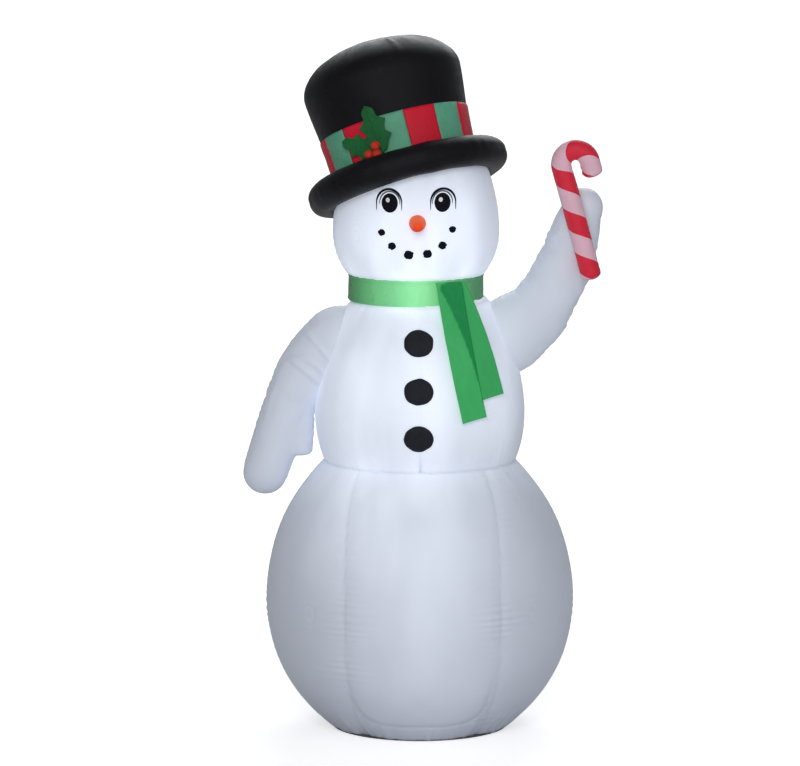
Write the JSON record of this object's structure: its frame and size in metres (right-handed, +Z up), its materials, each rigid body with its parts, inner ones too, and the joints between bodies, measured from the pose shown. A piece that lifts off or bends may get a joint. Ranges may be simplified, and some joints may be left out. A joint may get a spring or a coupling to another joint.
{
  "type": "inflatable yard snowman",
  "caption": "Air-filled fabric snowman for a yard, with a tilted top hat, scarf, mitten arms and a candy cane, kept up by a blower and lit from inside.",
  "frame": {"origin": "middle of the flat floor panel, on the ground", "axes": "+Z up; the snowman faces -Y, and its raised arm is on the +X side"},
  "size_m": [1.0989, 0.993, 2.118],
  "materials": {
    "white_fabric": "semi-gloss coated polyester",
    "face_black": "satin applique",
    "nose_orange": "coated polyester",
    "coal_fabric": "coated polyester",
    "hat_black": "satin polyester",
    "band_red": "coated polyester",
    "band_green": "coated polyester",
    "holly_green": "felt",
    "berry_red": "stuffed polyester",
    "scarf_green": "satin polyester",
    "cane_fabric": "printed polyester",
    "panel_fabric": "heavy coated polyester",
    "ballast_fabric": "woven bag filled with sand",
    "webbing": "woven webbing",
    "cord": "braided cord",
    "zip_tape": "woven tape",
    "zip_teeth": "moulded",
    "zip_metal": "plated",
    "eyelet_metal": "rolled",
    "blower_plastic": "moulded",
    "fan_plastic": "moulded",
    "motor_steel": "zinc plated",
    "screw_steel": "zinc plated",
    "lock_plastic": "moulded",
    "spring_steel": "drawn wire",
    "cable_rubber": "extruded",
    "adapter_plastic": "moulded",
    "prong_metal": "stamped",
    "lamp_socket": "moulded",
    "lamp_globe": "clear",
    "led_white": "clear epoxy"
  },
  "bodies": {
    "base": {"ball_envelope": "white_fabric", "floor_panel": "panel_fabric", "ballast_bags": "ballast_fabric", "zipper_tape": "zip_tape", "zipper_teeth": "zip_teeth", "outlet_shell": "blower_plastic", "intake_shell": "blower_plastic", "housing_screws": "screw_steel", "finger_grilles": "blower_plastic", "fan_motor": "motor_steel", "motor_bracket": "blower_plastic", "blower_foot": "blower_plastic", "blower_sleeve": "white_fabric", "drawstring": "cord", "power_adapter": "adapter_plastic", "plug_prongs": "prong_metal", "power_cord": "cable_rubber", "stake_tabs": "webbing", "stake_eyelets": "eyelet_metal", "ball_lamp_socket": "lamp_socket", "ball_lamp_led": "led_white", "ball_lamp_globe": "lamp_globe", "ball_harness": "cable_rubber"},
    "fan": {"fan_shaft": "motor_steel", "fan_impeller": "fan_plastic"},
    "zip_slider": {"zipper_slider": "zip_metal"},
    "zip_pull": {"zipper_pull": "zip_metal"},
    "cord_lock": {"cord_lock_barrel": "lock_plastic", "cord_lock_spring": "spring_steel"},
    "cord_lock_button": {"cord_lock_plunger": "lock_plastic"},
    "torso": {"torso_envelope": "white_fabric", "coal_buttons": "coal_fabric", "neck_band": "scarf_green", "tether_tabs": "webbing", "tether_eyelets": "eyelet_metal", "torso_lamp_socket": "lamp_socket", "torso_lamp_led": "led_white", "torso_lamp_globe": "lamp_globe", "torso_harness": "cable_rubber"},
    "head": {"head_envelope": "white_fabric", "eye_pupils": "face_black", "eye_outlines": "face_black", "mouth_dots": "face_black", "carrot_nose": "nose_orange", "hat_brim": "hat_black", "hat_crown": "hat_black", "hat_band_red": "band_red", "hat_band_green": "band_green", "holly_leaves": "holly_green", "holly_berries": "berry_red", "head_lamp_socket": "lamp_socket", "head_lamp_led": "led_white", "head_lamp_globe": "lamp_globe", "head_harness": "cable_rubber"},
    "arm_hanging": {"hanging_arm": "white_fabric"},
    "arm_raised": {"raised_arm": "white_fabric", "cane_tab": "white_fabric"},
    "cane": {"candy_cane": "cane_fabric"},
    "tail_front": {"scarf_front_tail": "scarf_green"},
    "tail_back": {"scarf_back_tail": "scarf_green"}
  },
  "joints": [
    {"name": "deflate", "type": "slide", "parent": "base", "child": "torso", "axis": [0, 0, -1], "range_m": [0, 0.57], "stiffness_N_per_m": 60, "springref_m": -0.9, "deforming": ["ball_envelope", "ball_harness"]},
    {"name": "head_nod", "type": "hinge", "parent": "torso", "child": "head", "pos_m": [-0.0125, 0, 1.398], "axis": [1, 0, 0], "range_deg": [-2.5, 2.5], "stiffness_Nm_per_rad": 60},
    {"name": "hanging_arm_sway", "type": "hinge", "parent": "torso", "child": "arm_hanging", "pos_m": [-0.256, 0, 1.195], "axis": [0, 1, 0], "range_deg": [0, 7], "stiffness_Nm_per_rad": 15},
    {"name": "raised_arm_wave", "type": "hinge", "parent": "torso", "child": "arm_raised", "pos_m": [0.256, 0, 1.195], "axis": [0, 1, 0], "range_deg": [-6, 8], "stiffness_Nm_per_rad": 60},
    {"name": "candy_cane_tilt", "type": "hinge", "parent": "arm_raised", "child": "cane", "pos_m": [0.47, -0.08, 1.56], "axis": [0, 1, 0], "range_deg": [-10, 10], "stiffness_Nm_per_rad": 3},
    {"name": "scarf_front_tail_lift", "type": "hinge", "parent": "torso", "child": "tail_front", "pos_m": [0.0844, -0.19883, 1.387], "axis": [-0.9205, -0.3907, 0], "range_deg": [0, 40]},
    {"name": "scarf_back_tail_lift", "type": "hinge", "parent": "torso", "child": "tail_back", "pos_m": [0.08541, -0.19184, 1.387], "axis": [-0.866, -0.5, 0], "range_deg": [0, 24]},
    {"name": "fan_spin", "type": "hinge", "parent": "base", "child": "fan", "pos_m": [0, 0.44, 0.105], "axis": [0, 1, 0], "continuous": true},
    {"name": "zip_travel", "type": "hinge", "parent": "base", "child": "zip_slider", "pos_m": [0, 0, 0.3], "axis": [0, 0, 1], "range_deg": [0, 21]},
    {"name": "zip_pull_flip", "type": "hinge", "parent": "zip_slider", "child": "zip_pull", "pos_m": [-0.18008, 0.43475, 0.3], "axis": [0, 0, -1], "range_deg": [0, 150]},
    {"name": "cord_lock_slide", "type": "slide", "parent": "base", "child": "cord_lock", "axis": [1, 0, 0], "range_m": [0, 0.025]},
    {"name": "cord_lock_press", "type": "slide", "parent": "cord_lock", "child": "cord_lock_button", "axis": [0, 0, -1], "range_m": [0, 0.003], "stiffness_N_per_m": 400, "springref_m": -0.003, "deforming": ["cord_lock_spring"]}
  ],
  "couplings": [
    {"joint": "scarf_back_tail_lift", "follows": "scarf_front_tail_lift", "ratio": 0.6}
  ]
}
